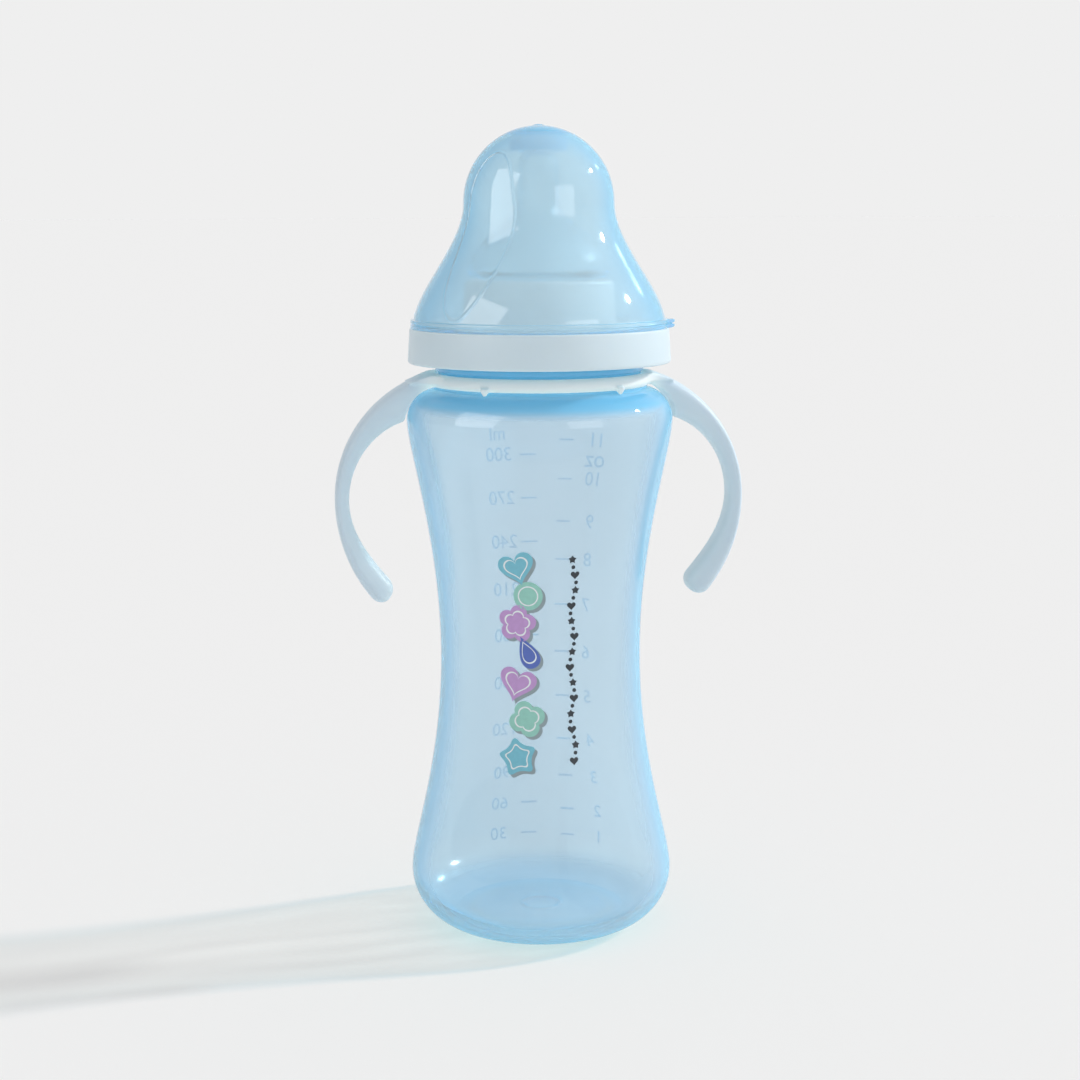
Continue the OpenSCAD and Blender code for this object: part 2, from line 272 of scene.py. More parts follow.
def bottle_inside():
    """Outline of the bottle's inside, from its floor to the neck, and its heel by itself."""
    roof_z, turret_wall, floor_z = 139.2, 2.4, DISH + BASE_WALL
    heel_extra, heel_top, heel_fade = 1.0, 13, 12
    shell = FLANK[FLANK[:, 1] < roof_z]
    wall = WALL + heel_extra * smooth_step((heel_top - shell[:, 1]) / heel_fade)
    flank_in = offset(shell, wall)
    flank_in = flank_in[flank_in[:, 1] > floor_z]
    foot, top = tuple(flank_in[0]), tuple(flank_in[-1])
    turret_in = SWIVEL_R - turret_wall
    inside = np.vstack((
        rounded([(0, floor_z + 0.2, 0), (4.4, floor_z + 0.2, 0.8), (5.2, floor_z + 0.45, 0.7),
                 (6.0, floor_z + 0.2, 0.8), (foot[0] - 3, floor_z - 0.4, 2.0), foot + (0,)]),
        flank_in[1:],
        rounded([top + (0,), (top[0] - 0.5, roof_z + 1.0, 1.0), (turret_in, roof_z + 1.8, 1.2),
                 (turret_in, ROOF_Z - WALL - 0.6, 1.4), (NECK_BORE, NECK_Z - WALL, 1.0),
                 (NECK_BORE, RIM_Z - 0.4, 0)])[1:]))
    return inside, flank_in[:30]


def make_bottle():
    inside, heel = bottle_inside()
    rim = rounded([(NECK_BORE + 1.2, RIM_Z - TOUCH, 0), (NECK_BORE, RIM_Z - TOUCH, 0.4),
                   (NECK_BORE, RIM_Z - 0.4, 0)])[1:-1]
    outline = np.vstack((bottle_outside(), rim, inside[::-1]))

    def relief(angles, r, z):
        if NECK_R - 0.2 < r[0] < NECK_R + 0.05 and z[0] > NECK_Z:
            return NECK_THREAD * helix(angles, z, THREAD_Z), 0
        share = (smooth_step((BLOWN_TOP - z[0]) / BLOWN_TOP_FADE)
                 * smooth_step((z[0] - BLOWN_FOOT) / BLOWN_FOOT_FADE))
        if share > 0 and np.min(np.hypot(*(heel - (r[0], z[0])).T)) < 0.01:
            turn = np.radians(angles)
            return 0, share * sum(depth * np.sin(waves * turn + start)
                                  for waves, depth, start in BLOWN_WAVES)
        return 0, 0

    return lathe("bottle_shell", outline, relief=relief)


# ---------------------------------------------------------------------------
# Handle ring
# ---------------------------------------------------------------------------

# An arm bows out to bow_x at bow_z, and from there curves in by low_angle, at a radius of
# low_r. t is its thickness, w its width and corner how square its section is, 1 being round.
ARM = dict(bow_x=53.5, bow_z=114.5, low_r=40.0, low_angle=39.0, mid_t=3.65, root_t=12.9,
           tip_t=6.5, w=13.0, mid_w=11.0, taper=0.35, corner=0.6)
NUB_PSI, NUB_R = 35.6, 29.3
ARM_REACH = ARM["bow_x"] - RING_R
ARM_DROP = RING_TOP - ARM["bow_z"]
ARM_HIGH_R = (ARM_REACH**2 + ARM_DROP**2) / (2 * ARM_REACH)
ARM_HIGH_ANGLE = math.degrees(math.asin(ARM_DROP / ARM_HIGH_R))


def arm_section(angle, shift=0.0, shrink=0.0, sides=40):
    """Points of one section across a handle arm, at an angle round the centre of its bow,
    as the CAD's arm_section."""
    if angle >= 0:
        curve_r, share = ARM_HIGH_R, (angle / ARM_HIGH_ANGLE) ** 2
        half_t = (ARM["mid_t"] + (ARM["root_t"] - ARM["mid_t"]) * share) / 2
    else:
        curve_r, share = ARM["low_r"], -angle / ARM["low_angle"]
        half_t = (ARM["mid_t"] + (ARM["tip_t"] - ARM["mid_t"]) * share**2 * (3 - 2 * share)) / 2
    width = ARM["mid_w"] + (ARM["w"] - ARM["mid_w"]) * share
    a = math.radians(angle)
    out = np.array((math.cos(a), 0, math.sin(a)))
    down = np.array((math.sin(a), 0, -math.cos(a)))
    centre = (np.array((ARM["bow_x"] - curve_r, 0, ARM["bow_z"])) + (curve_r - half_t) * out
              + shift * down)
    points = []
    for k in range(sides):
        t = 2 * math.pi * (k + 0.5) / sides
        u = math.copysign(abs(math.cos(t)) ** ARM["corner"], math.cos(t))
        v = math.copysign(abs(math.sin(t)) ** ARM["corner"], math.sin(t))
        half_w = width / 2 * (1 - ARM["taper"] * (1 - u) / 2)
        points.append(centre + out * (half_t - shrink) * u
                      + np.array((0, 1, 0)) * (half_w - shrink) * v)
    return points


def loft(name, sections):
    sides = len(sections[0])
    verts = [p * MM for section in sections for p in section]
    faces = [[i * sides + k, i * sides + (k + 1) % sides, (i + 1) * sides + (k + 1) % sides,
              (i + 1) * sides + k] for i in range(len(sections) - 1) for k in range(sides)]
    faces.append(list(range(sides))[::-1])
    faces.append([(len(sections) - 1) * sides + k for k in range(sides)])
    return mesh_object(name, verts, faces)


def boolean(piece, tool, operation):
    change = piece.modifiers.new("cut", "BOOLEAN")
    change.operation, change.solver, change.object = operation, "EXACT", tool
    bake(piece)
    bpy.data.objects.remove(tool)


def bake(piece):
    """Applies a piece's modifiers to its mesh."""
    shape = bpy.data.meshes.new_from_object(
        piece.evaluated_get(bpy.context.evaluated_depsgraph_get()))
    piece.modifiers.clear()
    old, piece.data = piece.data, shape
    bpy.data.meshes.remove(old)


def make_flare(side, fillet=9.0, half_width=6.2):
    """The curved web that leads the ring out into the sides of an arm, seen from above."""
    into_ring, below_arm = 0.7, 0.15
    cy = half_width + fillet
    cx = math.sqrt((RING_R + fillet) ** 2 - cy**2)
    start = math.degrees(math.atan2(cy, cx))
    curve = arc(cx, cy, fillet, fillet, -90, start - 180, 14)
    inner = arc(0, 0, SWIVEL_R + into_ring, SWIVEL_R + into_ring, start, -start, 20)
    plan = np.vstack((curve, inner, (curve * (1, -1))[::-1])) * side
    n = len(plan)
    verts = [(x * MM, y * MM, (LEDGE_Z + STEP_H) * MM) for x, y in plan]
    for x, y in plan:  # no higher than the arm's upper side
        away = np.clip(abs(x) - ARM["bow_x"] + ARM_HIGH_R, 0, ARM_HIGH_R)
        top = ARM["bow_z"] + math.sqrt(ARM_HIGH_R**2 - away**2) - below_arm
        verts.append((x * MM, y * MM, min(top, RING_TOP - TOUCH) * MM))
    faces = [[k, (k + 1) % n, n + (k + 1) % n, n + k] for k in range(n)]
    faces += [list(range(n))[::-1], list(range(n, 2 * n))]
    flare = mesh_object("flare", verts, faces)
    bm = bmesh.new()
    bm.from_mesh(flare.data)
    bmesh.ops.triangulate(bm, faces=bm.faces)
    bmesh.ops.recalc_face_normals(bm, faces=bm.faces)
    bm.to_mesh(flare.data)
    bm.free()
    return flare


def bottle_space():
    """The space that the bottle and the ring's seat keep clear of the arms."""
    gap, high = 0.8, RING_TOP + 20
    clear = offset(FLANK[FLANK[:, 1] >= WAIST_H], -gap)
    clear = clear[clear[:, 0] >= RING_R]
    return lathe("space", np.vstack((
        [(0, WAIST_H)], clear,
        [(RING_R, LEDGE_Z), (RING_R - STEP_W, LEDGE_Z), (RING_R - STEP_W, LEDGE_Z + STEP_H),
         (SWIVEL_R + SWIVEL_FIT, LEDGE_Z + STEP_H), (SWIVEL_R + SWIVEL_FIT, high), (0, high)])))


def make_arm(side):
    root_in, bow_steps, low_steps, tip_turn, tip_steps = -2.2, 40, 30, 84, 8
    far_r, far_z = 80, RING_TOP + 20
    sections = [arm_section(ARM_HIGH_ANGLE, shift=root_in)]
    sections += [arm_section(ARM_HIGH_ANGLE * i / bow_steps) for i in range(bow_steps, -1, -1)]
    sections += [arm_section(-ARM["low_angle"] * i / low_steps) for i in range(1, low_steps + 1)]
    tip = ARM["tip_t"] / 2
    for i in range(1, tip_steps + 1):
        t = math.radians(tip_turn * i / tip_steps)
        sections.append(arm_section(-ARM["low_angle"], tip * math.sin(t),
                                    tip * (1 - math.cos(t))))
    arm = loft("arm", sections)
    if side < 0:
        arm.data.transform(Matrix.Rotation(math.pi, 4, "Z"))
    boolean(arm, bottle_space(), "DIFFERENCE")
    boolean(arm, lathe("lid", [(0, RING_TOP), (far_r, RING_TOP), (far_r, far_z), (0, far_z)]),
            "DIFFERENCE")
    return arm


def make_nub(psi):
    """A small moulded drop that hangs under the front of the ring."""
    nub = lathe("nub", [(0, -1.7), (0.35, -1.6), (1.25, 0), (1.25, 0.5), (0, 0.5)],
                angles=round_angles(24))
    a = math.radians(FRONT + psi)
    nub.data.transform(Matrix.Translation(
        Vector((NUB_R * math.cos(a), NUB_R * math.sin(a), LEDGE_Z + 0.6)) * MM))
    return nub


def make_handles():
    round_w, round_h, voxel, soft_steps = 1.8, 2.2, 0.36, 8
    ring = lathe("handle_ring_moulding", np.vstack((
        [(SWIVEL_R + SWIVEL_FIT, LEDGE_Z + TOUCH), (RING_R - STEP_W, LEDGE_Z + TOUCH),
         (RING_R - STEP_W, LEDGE_Z + STEP_H), (RING_R, LEDGE_Z + STEP_H)],
        arc(RING_R - round_w, RING_TOP - round_h, round_w, round_h, 0, 90, 10),
        [(SWIVEL_R + SWIVEL_FIT, RING_TOP)])))
    for side in (1, -1):
        boolean(ring, make_arm(side), "UNION")
        boolean(ring, make_flare(side), "UNION")
    for psi in (-NUB_PSI, NUB_PSI):
        boolean(ring, make_nub(psi), "UNION")
    fine = ring.modifiers.new("fine", "REMESH")
    fine.mode, fine.voxel_size = "VOXEL", voxel * MM
    soft = ring.modifiers.new("soft", "SMOOTH")
    soft.factor, soft.iterations = 0.5, soft_steps
    bake(ring)
    ring.data.polygons.foreach_set("use_smooth", [True] * len(ring.data.polygons))
    return ring


# ---------------------------------------------------------------------------
# Collar, teat and hood
# ---------------------------------------------------------------------------

# Hood: the raised oval on its left front, the ring in its crown and its thumb tab
OVAL_PSI, OVAL_HALF_W, OVAL_LOW, OVAL_TOP_Z, OVAL_RELIEF = -48.5, 8.3, 0.6, 203.0, 0.26
CROWN_R, CROWN_BORE, CROWN_Z = 7.5, 5.2, 203.5
TAB_R, TAB_REACH, TAB_AT = 6.0, 1.7, -10.0


def make_collar():
    plate = SKIRT_TOP - COLLAR_WALL
    rim_r, rim_h, rim_wall, mouth_r = 30.9, 2.0, 1.2, 15.2
    outline = rounded([
        (SKIRT_R - COLLAR_WALL, SKIRT_Z, 0.4), (SKIRT_R, SKIRT_Z, 1.0),
        (SKIRT_TOP_R, SKIRT_TOP, 0.35), (rim_r, SKIRT_TOP, 0.1),
        (rim_r, SKIRT_TOP + rim_h, 0.25), (rim_r - rim_wall, SKIRT_TOP + rim_h, 0.25),
        (rim_r - rim_wall, SKIRT_TOP, 0.3), (DRUM_FOOT_R, SKIRT_TOP, 0.4),
        (DRUM_R, COLLAR_TOP, 1.0), (mouth_r, COLLAR_TOP, 0.3),
        (mouth_r, FLANGE_TOP + TOUCH, 0.1), (DRUM_BORE, FLANGE_TOP + TOUCH, 0.2),
        (DRUM_BORE, DRUM_FOOT_Z, 0.2), (DRUM_BORE + COLLAR_WALL, DRUM_FOOT_Z, 0.3),
        (DRUM_BORE + COLLAR_WALL, plate, 0.5), (SKIRT_TOP_R - COLLAR_WALL, plate, 0.6),
        (SKIRT_R - COLLAR_WALL, SKIRT_Z, 0.4)])
    first, last = np.flatnonzero(abs(outline[:, 0] - DRUM_BORE) < TOUCH)[[0, -1]]
    outline = np.vstack((outline[:first], dense(outline[first:last + 1], 0.14),
                         outline[last + 1:-1]))

    def relief(angles, r, z):
        if abs(r[0] - DRUM_BORE) < 0.05:
            return -BORE_THREAD * helix(angles, z, THREAD_Z - PITCH / 2), 0
        return 0, 0

    return lathe("collar_moulding", outline, relief=relief)


def make_teat():
    lip_z, cone_z, top_z = 171.1, 191.3, 205.2
    base_r, shaft_r, lip_h, wall = 18.3, 5.2, 1.4, 1.6
    bore, flange_r, root_r = 13.3, 16.9, 14.9
    cone_h = cone_z - lip_z
    outer = np.vstack((
        arc(base_r - lip_h, lip_z + lip_h, lip_h, lip_h, -90, 0, 8),
        bezier((base_r, lip_z + lip_h), (base_r, lip_z + cone_h * 0.55),
               (shaft_r, cone_z - cone_h * 0.35), (shaft_r, cone_z), 48)[1:],
        arc(0, top_z - shaft_r, shaft_r, shaft_r, 0, 90, 20)))
    inner = offset(outer, wall)
    inner = inner[inner[:, 1] > lip_z + wall]
    outer[-1][0] = inner[-1][0] = 0  # both close on the axis
    foot = rounded([(bore, RIM_Z + TOUCH, 0), (flange_r, RIM_Z + TOUCH, 0.3),
                    (flange_r, FLANGE_TOP - TOUCH, 0.3), (root_r, FLANGE_TOP - TOUCH, 0.3),
                    (root_r, lip_z, 0.3), (base_r - lip_h, lip_z, 0)])
    return lathe("teat_silicone",
                 np.vstack((outer[::-1], foot[::-1], [(bore, lip_z + 1.0)], inner)))


def bell():
    """Outside of the hood above its flange, up to the middle of its dome."""
    return np.vstack((
        bezier((BELL_R, BELL_Z), (BELL_R - 1.7, BELL_Z + 9), (DOME_R, DOME_Z - 10),
               (DOME_R, DOME_Z), 60),
        arc(0, DOME_Z, DOME_R, DOME_R, 0, 90, 40)[1:]))


def along(points):
    """How far along an outline each of its points lies."""
    return np.concatenate(([0], np.cumsum(np.linalg.norm(np.diff(points, axis=0), axis=1))))


def even(points, step):
    """The same outline in even steps."""
    at = along(points)
    where = np.linspace(0, at[-1], int(np.ceil(at[-1] / step)) + 1)
    return np.column_stack([np.interp(where, at, points[:, k]) for k in (0, 1)])


def hood_outside(skin):
    """Outline of the hood's flange, and of its bell with even steps along the oval."""
    fine_z, groove = OVAL_TOP_Z + 1.5, BELL_Z - 1.15
    high = skin[skin[:, 1] >= fine_z]
    outer = np.vstack((even(np.vstack((skin[skin[:, 1] < fine_z], high[:1])), 0.28), high[1:]))
    flange = rounded([
        (BELL_R - HOOD_WALL, SKIRT_TOP + TOUCH, 0), (FLANGE_R, SKIRT_TOP + TOUCH, 0.7),
        (FLANGE_R, groove - 0.25, 0.2), (FLANGE_R - 0.3, groove, 0.15),
        (FLANGE_R, groove + 0.25, 0.2), (FLANGE_R, BELL_Z, 0.7), (BELL_R, BELL_Z, 0)])
    return flange, outer


def hood_inside(skin):
    """Outline of the hood's inside, with the ring that hangs in its crown."""
    roof = DOME_Z + DOME_R - HOOD_WALL
    inner = offset(skin, HOOD_WALL)
    inner = inner[inner[:, 0] > CROWN_R + 0.2]
    crown = rounded([(CROWN_R + 0.05, roof - 1.5, 0), (CROWN_R, roof - 2.1, 0.3),
                     (CROWN_R, CROWN_Z, 0.3), (CROWN_BORE, CROWN_Z, 0.3),
                     (CROWN_BORE, roof - 0.7, 0.5), (3, roof - 0.3, 0.5), (0, roof, 0)])
    return np.vstack(([(BELL_R - HOOD_WALL, BELL_Z)], inner[1:], crown))


def hood_angles():
    """Angles round the hood, closer together across the oval."""
    middle, reach = FRONT + OVAL_PSI, 30
    fine = np.arange(middle - reach, middle + reach, 0.6)
    coarse = np.arange(FRONT - 360, FRONT, 1.8)
    coarse = coarse[(coarse < fine[0]) | (coarse > fine[-1])]
    return np.unique(np.round(np.concatenate((coarse, fine)) % 360, 3))


def make_hood():
    skin = bell()
    flange, outer = hood_outside(skin)
    top_z = DOME_Z + DOME_R
    gate = bezier((2.3, top_z - 0.14), (1.5, top_z - 0.05), (1.3, top_z + 0.3), (0, top_z + 0.3), 10)
    outside = np.vstack((flange, outer[1:]))
    outline = np.vstack((outside[outside[:, 0] > 2.4], gate, hood_inside(skin)[::-1]))
    length_at = dict(zip(np.round(outer[:, 1], 6), along(outer)))
    oval_high = float(np.interp(OVAL_TOP_Z, skin[:, 1], along(skin)))
    oval_middle, oval_half_h = (OVAL_LOW + oval_high) / 2, (oval_high - OVAL_LOW) / 2
    tab_c = FLANGE_R + TAB_REACH - TAB_R

    def tab(angles, r):
        """How far the thumb tab moves the flange out."""
        phi = np.radians((angles - TAB_AT + 180) % 360 - 180)
        inside_root = np.maximum(TAB_R**2 - (tab_c * np.sin(phi)) ** 2, 0)
        reach = tab_c * np.cos(phi) + np.sqrt(inside_root)
        grow = np.where(np.abs(phi) < 0.3, np.maximum(reach - FLANGE_R, 0), 0)
        return grow * (r - BELL_R) / (FLANGE_R - BELL_R)

    def relief(angles, r, z):
        if SKIRT_TOP < z[0] < BELL_Z + 0.01 and r[0] > BELL_R:
            return tab(angles, r[0]), 0
        at = length_at.get(round(float(z[0]), 6))
        if at is None or abs(np.interp(z[0], outer[:, 1], outer[:, 0]) - r[0]) > 0.01:
            return 0, 0
        u = np.radians((angles - FRONT - OVAL_PSI + 180) % 360 - 180) * r
        v = at - oval_middle
        size = np.sqrt((u / OVAL_HALF_W) ** 2 + (v / oval_half_h) ** 2)
        grad = np.sqrt((u / OVAL_HALF_W**2) ** 2 + (v / oval_half_h**2) ** 2)
        grad /= np.maximum(size, 1e-6)
        return OVAL_RELIEF * ridge((size - 1) / np.maximum(grad, 1e-6), 0.05, 0.42), 0

    return lathe("hood_shell", outline, angles=hood_angles(), relief=relief)


# ---------------------------------------------------------------------------
# Scale and print, bent onto the bottle's wall
# ---------------------------------------------------------------------------


def solid_of(curve):
    """The mesh of a filled curve, as one that can be edited."""
    holder = bpy.data.objects.new(curve.name, curve)
    bpy.context.collection.objects.link(holder)
    mesh = bpy.data.meshes.new_from_object(
        holder.evaluated_get(bpy.context.evaluated_depsgraph_get()))
    bpy.data.objects.remove(holder)
    bm = bmesh.new()
    bm.from_mesh(mesh)
    bpy.data.meshes.remove(mesh)
    bmesh.ops.remove_doubles(bm, verts=bm.verts, dist=1e-4)
    return bm


def flat_text(text, height, thick):
    """A solid of the given figures, in millimetres, centred on the origin."""
    figure_share, edge = 0.7, 0.12  # of the font's size; the rounding of the edges
    curve = bpy.data.curves.new("figures", "FONT")
    curve.body, curve.size = text, height / figure_share
    curve.align_x, curve.align_y = "CENTER", "CENTER"
    curve.extrude, curve.bevel_depth, curve.bevel_resolution = thick / 2 - edge, edge, 2
    curve.offset = -0.1
    curve.resolution_u = 6
    return solid_of(curve)


def flat_shape(outline, thick, holes=()):
    """A flat solid with the given outline, in millimetres."""
    curve = bpy.data.curves.new("shape", "CURVE")
    curve.dimensions, curve.fill_mode = "2D", "BOTH"
    curve.extrude = thick / 2
    for ring in (outline, *holes):
        spline = curve.splines.new("POLY")
        spline.points.add(len(ring) - 1)
        for point, (x, y) in zip(spline.points, ring):
            point.co = (x, y, 0, 1)
        spline.use_cyclic_u = True
    return solid_of(curve)


def bend(bm, psi, z, foot, into, step=0.9):
    """Bends a flat solid onto the bottle's wall, foot above it, and adds it to another."""
    bmesh.ops.recalc_face_normals(bm, faces=bm.faces)
    if bm.calc_volume(signed=True) < 0:
        bmesh.ops.reverse_faces(bm, faces=bm.faces)
    xs = [v.co.x for v in bm.verts]
    ys = [v.co.y for v in bm.verts]
    for axis, low, high in ((0, min(xs), max(xs)), (1, min(ys), max(ys))):
        pitch = step if axis == 0 else 3 * step
        normal = Vector((1, 0, 0)) if axis == 0 else Vector((0, 1, 0))
        for k in range(1, int((high - low) / pitch) + 1):
            bmesh.ops.bisect_plane(bm, geom=bm.verts[:] + bm.edges[:] + bm.faces[:],
                                   plane_co=normal * (low + k * pitch), plane_no=normal)
    r = wall_point(0, z).to_2d().length / MM
    base = min(v.co.z for v in bm.verts)
    for v in bm.verts:
        v.co = wall_point(psi + math.degrees(v.co.x / r), z + v.co.y, v.co.z - base + foot)
    piece = bpy.data.meshes.new("bent")
    bm.to_mesh(piece)
    bm.free()
    into.from_mesh(piece)
    bpy.data.meshes.remove(piece)


def finish_mesh(name, bm):
    mesh = bpy.data.meshes.new(name)
    bm.to_mesh(mesh)
    bm.free()
    mesh.polygons.foreach_set("use_smooth", [True] * len(mesh.polygons))
    mesh.set_sharp_from_angle(angle=math.radians(35))
    piece = bpy.data.objects.new(name, mesh)
    bpy.context.collection.objects.link(piece)
    return piece


def bar(width, height):
    w, h = width / 2, height / 2
    return [(-w, -h), (w, -h), (w, h), (-w, h)]


# Heights of the marks, by the amount that each stands for
ML_MARKS = {30: 12.7, 60: 22.1, 90: 31.7, 120: 45.0, 150: 58.7, 180: 72.3, 210: 85.2,
            240: 98.3, 270: 110.2, 300: 121.9}
OZ_MARKS = {1: 12.2, 2: 20.2, 3: 30.7, 4: 42.0, 5: 54.9, 6: 67.7, 7: 81.0, 8: 93.5, 9: 103.9,
            10: 115.4, 11: 125.8}
ML_PSI, ML_TICK_PSI, OZ_TICK_PSI, OZ_PSI = 193.0, 178.0, 159.0, 143.0


def make_scale():
    """The raised figures and ticks on the back wall, seen through the bottle."""
    into = bmesh.new()
    figure_h, tick_h, thick = 3.7, 0.45, 0.3
    for marks, psi, tick_psi, tick_w in ((ML_MARKS, ML_PSI, ML_TICK_PSI, 4.6),
                                         (OZ_MARKS, OZ_PSI, OZ_TICK_PSI, 4.0)):
        for value, z in marks.items():
            bend(flat_text(str(value), figure_h, thick), psi, z, TOUCH, into)
            bend(flat_shape(bar(tick_w, tick_h), thick), tick_psi, z, TOUCH, into)
    for unit, height, psi, z in (("ml", 3.6, ML_PSI, 127.4), ("oz", 4.6, OZ_PSI, 120.8)):
        bend(flat_text(unit, height, thick), psi, z, TOUCH, into)
    return finish_mesh("moulded_scale", into)


def star(size, inner=0.5, points=5):
    out = []
    for k in range(2 * points):
        r = size * (inner if k % 2 else 1)
        out.append((r * math.sin(math.pi * k / points), r * math.cos(math.pi * k / points)))
    return out


def soften(outline, rounds=3):
    """Rounds the corners of a closed outline by cutting them."""
    points = [np.array(p, float) for p in outline]
    for _ in range(rounds):
        out = []
        for a, b in zip(points, points[1:] + points[:1]):
            out += [a * 0.75 + b * 0.25, a * 0.25 + b * 0.75]
        points = out
    return [tuple(p) for p in points]


def disc(size, n=36):
    return [(size * math.cos(2 * math.pi * k / n), size * math.sin(2 * math.pi * k / n))
            for k in range(n)]


def heart(size, n=48):
    out = []
    for k in range(n):
        t = 2 * math.pi * k / n
        out.append((size * math.sin(t) ** 3,
                    size * (13 * math.cos(t) - 5 * math.cos(2 * t) - 2 * math.cos(3 * t)
                            - math.cos(4 * t)) / 16))
    return out


def drop(size, n=40):
    out = []
    for k in range(n):
        t = 2 * math.pi * k / n
        out.append((size * 0.78 * math.sin(t) * math.sin(t / 2) ** 1.3, size * math.cos(t)))
    return out


def turned(outline, degrees, dx=0.0, dy=0.0, grow=1.0):
    c, s = math.cos(math.radians(degrees)), math.sin(math.radians(degrees))
    return [(grow * (x * c - y * s) + dx, grow * (x * s + y * c) + dy) for x, y in outline]


def flower(size, petals=5, n=80, dip=0.28):
    out = []
    for k in range(n):
        t = 2 * math.pi * k / n
        r = size * (1 - dip + dip * abs(math.cos(petals * t / 2)) ** 0.8)
        out.append((r * math.cos(t), r * math.sin(t)))
    return out


MOTIFS = [  # ink, outline, turn, place across and up, in millimetres
    ("turquoise", soften(star(5.6, inner=0.58), 3), 12, -9.6, 51.6),
    ("mint", flower(4.7, 4), 20, -7.4, 61.4),
    ("lilac", heart(4.8), -14, -10.0, 70.6),
    ("blue", soften(drop(4.4), 1), 24, -7.2, 78.6),
    ("lilac", flower(4.9), 8, -9.9, 86.0),
    ("mint", disc(3.7), 0, -6.9, 93.2),
    ("turquoise", heart(4.6), 16, -9.6, 100.6),
]
SMALL_MOTIFS, SMALL_STEP, SMALL_Z = 27, 2.0, 50.5
SMALL_ACROSS, SMALL_SWAY = 4.6, 0.6
SHADOW_SHIFT = (0.75, -0.7)
PRINT_R = 27.5  # about the radius of the wall that is printed on
# Thickness of each layer of ink and its height above the wall
SHADOW_LAYER, COLOUR_LAYER = (0.03, 0.01), (0.04, 0.05)
LINE_LAYER, DARK_LAYER = (0.02, 0.10), (0.03, 0.02)


def make_print():
    """The printed shapes, one piece for each ink."""
    inks = defaultdict(bmesh.new)

    def lay(ink, layer, across, z, outline, *holes):
        thick, foot = layer
        bend(flat_shape(outline, thick, holes), math.degrees(across / PRINT_R), z, foot, inks[ink])

    for colour, outline, turn, across, z in MOTIFS:
        lay("shadow", SHADOW_LAYER, across, z, turned(outline, turn, *SHADOW_SHIFT))
        lay(colour, COLOUR_LAYER, across, z, turned(outline, turn))
        lay("white", LINE_LAYER, across, z, turned(outline, turn, grow=0.70),
            turned(outline, turn, grow=0.61))
    for k in range(SMALL_MOTIFS):
        shape = (heart(1.15, 24), disc(0.5, 20), soften(star(1.2), 1), disc(0.5, 20))[k % 4]
        lay("dark", DARK_LAYER, SMALL_ACROSS + SMALL_SWAY * math.sin(k * 0.9),
            SMALL_Z + k * SMALL_STEP, shape)
    return {name: finish_mesh("print_" + name, bm) for name, bm in inks.items()}


# ---------------------------------------------------------------------------
# Materials
# ---------------------------------------------------------------------------

COLOUR_A, COLOUR_B, COLOUR_OUT = 6, 7, 2  # sockets of a Mix node that mixes colours
SLANT_END = 0.88  # how far aslant the clear plastic's colour is deepest
BOUNCE = (1.15, 1.06, 1.02, 1)  # soft light let in by clear plastic, at each face


def new_material(name):
    mat = bpy.data.materials.new(name)
    mat.use_nodes = True
    tree = mat.node_tree
    return mat, tree, tree.nodes["Principled BSDF"]


def feed(tree, socket, value):
    """Links a socket to another one, or gives it a value of its own."""
    if isinstance(value, bpy.types.NodeSocket):
        tree.links.new(value, socket)
    else:
        socket.default_value = value


def math_node(tree, operation, *values):
    """A socket with the result of an operation on numbers or other sockets."""
    node = tree.nodes.new("ShaderNodeMath")
    node.operation = operation
    for socket, value in zip(node.inputs, values):
        feed(tree, socket, value)
    return node.outputs["Value"]


def remap(tree, value, low, high, start=0.0, full=1.0, smooth=False):
    """A socket that goes from low to high while another goes from start to full."""
    node = tree.nodes.new("ShaderNodeMapRange")
    node.interpolation_type = "SMOOTHSTEP" if smooth else "LINEAR"
    node.inputs["From Min"].default_value, node.inputs["From Max"].default_value = start, full
    node.inputs["To Min"].default_value, node.inputs["To Max"].default_value = low, high
    tree.links.new(value, node.inputs["Value"])
    return node.outputs["Result"]


def mix_colours(tree, share, one, other):
    node = tree.nodes.new("ShaderNodeMix")
    node.data_type = "RGBA"
    tree.links.new(share, node.inputs["Factor"])
    feed(tree, node.inputs[COLOUR_A], one)
    feed(tree, node.inputs[COLOUR_B], other)
    return node.outputs[COLOUR_OUT]


def mix_shaders(tree, share, one, other):
    node = tree.nodes.new("ShaderNodeMixShader")
    for socket, value in zip(node.inputs, (share, one, other)):
        tree.links.new(value, socket)
    return node.outputs["Shader"]


def noise_node(tree, scale, detail, stretch=None):
    place = tree.nodes.new("ShaderNodeTexCoord").outputs["Object"]
    noise = tree.nodes.new("ShaderNodeTexNoise")
    noise.inputs["Scale"].default_value = scale
    noise.inputs["Detail"].default_value = detail
    if stretch:
        mapping = tree.nodes.new("ShaderNodeMapping")
        mapping.inputs["Scale"].default_value = stretch
        tree.links.new(place, mapping.inputs["Vector"])
        place = mapping.outputs["Vector"]
    tree.links.new(place, noise.inputs["Vector"])
    return noise.outputs["Fac"]


def add_bump(tree, shader, noise, strength, distance):
    bump = tree.nodes.new("ShaderNodeBump")
    bump.inputs["Strength"].default_value = strength
    bump.inputs["Distance"].default_value = distance
    tree.links.new(noise, bump.inputs["Height"])
    tree.links.new(bump.outputs["Normal"], shader.inputs["Normal"])


def ramp(tree, source, low, high, at=(0.35, 0.65)):
    node = tree.nodes.new("ShaderNodeValToRGB")
    for stop, colour, position in zip(node.color_ramp.elements, (low, high), at):
        stop.color, stop.position = colour, position
    tree.links.new(source, node.inputs["Fac"])
    return node.outputs["Color"]


def scaled(colour, share):
    return tuple(c * share for c in colour[:3]) + (1,)


